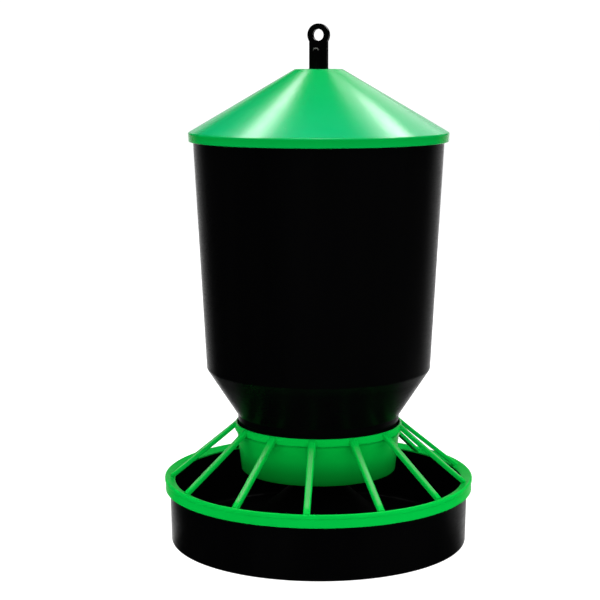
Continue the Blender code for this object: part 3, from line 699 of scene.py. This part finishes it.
# -------------------------------------------------------------- hanger strap
strap = cross("hanger_upper", WEB_W, WEB_T, RIB_W, RIB_D, SPLICE_Z1, RIB_TOP - RIB_W / 2)
combine(strap, [
    along_y(prism("rib_cap", circle(RIB_W / 2, 48), -RIB_D / 2, RIB_D / 2), (0, 0, RIB_TOP - RIB_W / 2)),
    block("web_top", (-WEB_W / 2, -WEB_T / 2, RIB_TOP - 0.010), (WEB_W / 2, WEB_T / 2, EYE_Z - 0.0075)),
    along_y(prism("eye", circle(EYE_R, 128), -WEB_T / 2, WEB_T / 2), (0, 0, EYE_Z)),
    block("half_web", (-WEB_W / 2, -WEB_T / 2, SPLICE_Z0 + GAP), (WEB_W / 2, -GAP / 2, SPLICE_Z1 + 0.002)),
    block("half_rib", (-RIB_W / 2, -RIB_D / 2, SPLICE_Z0 + GAP), (RIB_W / 2, -GAP / 2, SPLICE_Z1 + 0.002)),
], "UNION")
combine(strap, [along_y(prism("eye_hole", circle(EYE_HOLE_R, 96), -0.02, 0.02), (0, 0, EYE_Z))], "DIFFERENCE")
soften(clean(strap), 0.0009, 4)
combine(strap, [join(leg_holes(SPLICE_PIN_Z))], "DIFFERENCE")
shade(clean(strap), 34.0)
finish_piece(strap, "hanger", MAT_STEM, "black_plastic", "hanger_strap")


# ---------------------------------------------------------------------- pins
def u_pin(name, z, body, node):
    """Wire bent into a U with chamfered ends, legs along Y."""
    half, back, front = PIN_PITCH / 2, 0.0190, -0.0150
    pts = [(half, back, 0.62), (half, back - 0.0007, 1.0)]
    pts += [(half, back + (front - back) * k / 6, 1.0) for k in range(1, 6)]
    pts += [(half * math.cos(math.pi * k / 24), front - half * math.sin(math.pi * k / 24), 1.0) for k in range(25)]
    pts += [(-half, front + (back - front) * k / 6, 1.0) for k in range(1, 6)]
    pts += [(-half, back - 0.0007, 1.0), (-half, back, 0.62)]
    rows = []
    for i, (x, y, size) in enumerate(pts):
        a, b = pts[max(i - 1, 0)], pts[min(i + 1, len(pts) - 1)]
        d = Vector((b[0] - a[0], b[1] - a[1], 0)).normalized()
        side = Vector((-d.y, d.x, 0))
        rows.append([tuple(Vector((x, y, z)) + (side * math.cos(t) + Vector((0, 0, 1)) * math.sin(t)) * (PIN_WIRE / 2 * size))
                     for t in [2 * math.pi * j / 20 for j in range(20)]])
    pin = shade(loft(name, rows), 40.0)
    return finish_piece(pin, body, MAT_WIRE, "steel_wire", node)


u_pin("height_wire_pin", PIN_Z, "pin", "height_pin")
u_pin("splice_wire_pin", SPLICE_PIN_Z, "hanger", "splice_pin")

# ----------------------------------------------------------------------- lid
lid_face = [(LID_FLAT_R, LID_TOP), (LID_R, LID_EDGE_Z)]
lid_back = offset_path(lid_face, LID_WALL)
t = (0.1553 - lid_back[0][0]) / (lid_back[1][0] - lid_back[0][0])
lid_profile = [
    (0.0055, LID_TOP), lid_face[0], lid_face[1], (LID_R - 0.0006, LID_BOTTOM), (0.1610, LID_BOTTOM),
    (0.1610, HOP_TOP + GAP), (0.1553, HOP_TOP + GAP),
    (0.1553, lid_back[0][1] + t * (lid_back[1][1] - lid_back[0][1])),
    (LID_FLAT_R, LID_TOP - LID_WALL - 0.0004), (0.0055, LID_TOP - LID_WALL - 0.0002),
]
lid = lathe("cover", fillet(lid_profile, {
    1: 0.0026, 2: 0.0026, 3: 0.0011, 4: 0.0006, 5: 0.0006, 6: 0.0006, 7: 0.0015, 8: 0.0020}, 8))
combine(lid, [cross("hanger_slot", 0.0312, 0.0086, 0.0102, 0.0264, LID_TOP - 0.008, LID_TOP + 0.004)],
        "DIFFERENCE")
shade(clean(lid), 26.0)
finish_piece(lid, "cover", MAT_LID, "green_plastic", "lid")

# ---------------------------------------------------------------------- room
bm = bmesh.new()
bmesh.ops.create_grid(bm, x_segments=4, y_segments=4, size=14.0)
floor = make("floor", bm)
floor.location = (0, 0, -0.0002)
n = Nodes("paper_floor")
paper = n.noise(3.0, 3.0, 0.5)
n.set(Base_Color=n.ramp(paper, [(0.3, (0.24, 0.24, 0.24)), (0.7, (0.26, 0.26, 0.26))]), Roughness=0.9)
n.bsdf.inputs["Specular IOR Level"].default_value = 0.0
n.bsdf.inputs["Emission Color"].default_value = (1.0, 1.0, 1.0, 1.0)       # lit from below, as a light table is
n.bsdf.inputs["Emission Strength"].default_value = 1.02
n.mat.cycles.emission_sampling = "NONE"
floor.data.materials.append(n.mat)
floor.visible_glossy = False
floor.visible_diffuse = False
floor.visible_shadow = False

VIEW_TURN = math.radians(19.3)      # the camera's azimuth round the feeder

# the world is only the white background; light comes from the panels, cards and boxes below
world = bpy.data.worlds.new("studio")
scene.world = world
world.use_nodes = True
tree = world.node_tree
background = tree.nodes["Background"]
background.inputs["Color"].default_value = (1.0, 1.0, 1.0, 1.0)
path = tree.nodes.new("ShaderNodeLightPath")
seen = tree.nodes.new("ShaderNodeMapRange")
seen.inputs["To Min"].default_value = 0.0        # as a light
seen.inputs["To Max"].default_value = 1.10       # as the white background
tree.links.new(path.outputs["Is Camera Ray"], seen.inputs["Value"])
tree.links.new(seen.outputs["Result"], background.inputs["Strength"])
world.cycles_visibility.glossy = False


def softbox(name, azimuth, elevation, distance, width, height, radiance, aim=(0, 0, 0.33), matte=False, gloss=True):
    """An area light; azimuth is counted from the camera's side, to the right."""
    a = VIEW_TURN + math.radians(azimuth)
    e = math.radians(elevation)
    way = Vector((math.sin(a) * math.cos(e), -math.cos(a) * math.cos(e), math.sin(e)))
    data = bpy.data.lights.new(name, "AREA")
    data.shape = "RECTANGLE"
    data.size, data.size_y = width, height
    data.energy = radiance * math.pi * width * height
    lamp = bpy.data.objects.new(name, data)
    lamp.location = Vector(aim) + way * distance
    lamp.rotation_mode = "QUATERNION"
    lamp.rotation_quaternion = (-way).to_track_quat("-Z", "Y")
    lamp.visible_glossy = gloss
    lamp.visible_diffuse = matte
    lamp.visible_camera = False
    scene.collection.objects.link(lamp)
    return lamp


def panel(name, azimuth, elevation, distance, width, height, radiance):
    """A wide diffuser that fills the matte colours and draws no reflection."""
    lamp = softbox(name, azimuth, elevation, distance, width, height, radiance, matte=True, gloss=False)
    lamp.data.cycles.use_multiple_importance_sampling = False
    return lamp


def card(name, back, half, z0, z1, radiance, distance=5.0):
    """An upright white card for gloss only, back degrees away from straight behind, right positive."""
    azimuth = 180.0 - back if back >= 0 else -(180.0 + back)
    return softbox(name, azimuth, 0.0, distance, 2 * distance * math.tan(math.radians(half)), z1 - z0, radiance,
                   aim=(0, 0, (z0 + z1) / 2))


panel("top_panel", 0.0, 90.0, 3.0, 5.0, 5.0, 1.50)
panel("front_panel", 0.0, 14.0, 3.4, 6.0, 3.4, 1.80)
panel("left_panel", -90.0, 16.0, 3.4, 6.0, 3.4, 1.60)
panel("right_panel", 90.0, 16.0, 3.4, 6.0, 3.4, 1.95)
panel("back_panel", 180.0, 20.0, 3.4, 6.0, 3.4, 0.95)
panel("under_panel", 0.0, -90.0, 1.2, 5.0, 5.0, 1.00)
# white backdrop as gloss sees it, brightest straight behind
card("backdrop_core", 1.0, 20.0, -2.2, 2.20, 0.80, 5.0)
card("backdrop_mid", 2.0, 32.0, -2.2, 0.55, 0.42, 5.3)
card("backdrop_wide", 3.0, 45.0, -2.2, 0.55, 0.22, 5.6)
# the lit paper close behind and beside the pan
glow = softbox("paper_glow", 180.0, -90.0, 0.05, 1.10, 0.50, 0.30, aim=(0, 0, 0))
glow.location = Matrix.Rotation(VIEW_TURN, 3, "Z") @ Vector((0.20, 0.36, -0.05))
glow.rotation_quaternion = (Matrix.Rotation(VIEW_TURN, 3, "Z") @ Matrix.Rotation(math.pi, 3, "X")).to_quaternion()
# two boxes behind and above draw the bright fans on the lid
softbox("back_left", -146.0, 54.0, 2.4, 0.66, 0.32, 24.0, aim=(0, 0, 0.55))
softbox("back_right", 142.5, 46.0, 2.4, 0.64, 0.36, 18.5, aim=(0, 0, 0.55))
softbox("back_right_inner", 151.0, 53.0, 2.5, 0.60, 0.46, 5.0, aim=(0, 0, 0.55))
softbox("right_low", 157.0, 27.0, 3.0, 1.00, 1.10, 1.9, aim=(0, 0, 0.55))
# three small boxes add gloss along the spokes; the pale lines on the spoke crests are mostly painted highlight in the
# grill material
softbox("line_top", 0.0, 89.0, 2.4, 0.70, 0.25, 30.0, aim=(0, 0, 0.10))
softbox("line_left", -116.0, 62.0, 2.4, 0.40, 0.30, 60.0, aim=(0, 0, 0.10))
softbox("line_right", 116.0, 62.0, 2.4, 0.40, 0.30, 60.0, aim=(0, 0, 0.10))
# one overhead lights the lid
softbox("overhead", 0.0, 84.0, 2.4, 1.4, 0.55, 7.5, aim=(0, 0, 0.10), matte=True, gloss=False)

# -------------------------------------------------------------------- camera
pitch, yaw, roll = math.radians(8.694), math.radians(-0.661), math.radians(-0.05)
forward = Vector((math.sin(yaw) * math.cos(pitch), math.cos(yaw) * math.cos(pitch), -math.sin(pitch)))
right = Vector((math.cos(yaw), -math.sin(yaw), 0.0))
up = right.cross(forward)
right, up = right * math.cos(roll) + up * math.sin(roll), up * math.cos(roll) - right * math.sin(roll)
turn = Matrix.Rotation(VIEW_TURN, 3, "Z")
basis = Matrix((turn @ right, turn @ up, turn @ -forward)).transposed().to_4x4()
camera = bpy.data.objects.new("camera", bpy.data.cameras.new("camera"))
camera.data.lens = 1622.0 * 36.0 / 600.0
camera.data.sensor_width = 36.0
camera.matrix_world = Matrix.Translation(turn @ Vector((0.0, -2.064, 0.6284))) @ basis
scene.collection.objects.link(camera)
scene.camera = camera
scene.view_settings.view_transform = "Standard"
scene.view_settings.look = "None"
